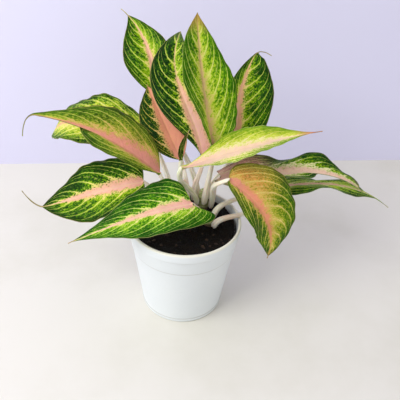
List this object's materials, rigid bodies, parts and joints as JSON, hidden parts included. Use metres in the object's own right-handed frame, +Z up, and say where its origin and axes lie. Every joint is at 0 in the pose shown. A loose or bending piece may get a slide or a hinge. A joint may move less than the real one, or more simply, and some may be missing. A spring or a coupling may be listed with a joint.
{
  "type": "potted chinese evergreen",
  "caption": "Aglaonema houseplant with pink-ribbed, green and yellow veined leaves on pale stalks, growing from dark soil in a round tapered white plastic nursery pot.",
  "frame": {"origin": "centre of the pot's flat underside", "axes": "+Z up along the pot's axis; -Y towards the front of the plant"},
  "size_m": [0.4115, 0.2248, 0.3122],
  "materials": {
    "pot_plastic": "smooth white moulded plastic with a soft sheen",
    "potting_soil": "damp dark crumbly potting mix",
    "cane_bark": "pale green-brown ringed stem",
    "leaf_green": "satin dark green leaf with pink rib and pale veins",
    "leaf_lime": "satin lime green leaf with pink rib and pale veins",
    "leaf_bronze": "satin leaf with a wide terracotta pink middle"
  },
  "bodies": {
    "root": {"pot": "pot_plastic", "soil": "potting_soil", "cane_back": "cane_bark", "cane_left": "cane_bark", "cane_front": "cane_bark", "leaf_centre": "leaf_lime", "leaf_centre_left": "leaf_green", "leaf_left_inner": "leaf_bronze", "leaf_back_left": "leaf_green", "leaf_back_right": "leaf_green", "leaf_right_level": "leaf_lime", "leaf_front_right": "leaf_bronze", "leaf_right_long": "leaf_green", "leaf_right_low": "leaf_green", "leaf_left_arching": "leaf_green", "leaf_left_back": "leaf_green", "leaf_left_low": "leaf_green", "leaf_front_left": "leaf_lime", "leaf_right_small": "leaf_green", "leaf_left_young": "leaf_green"}
  },
  "joints": []
}
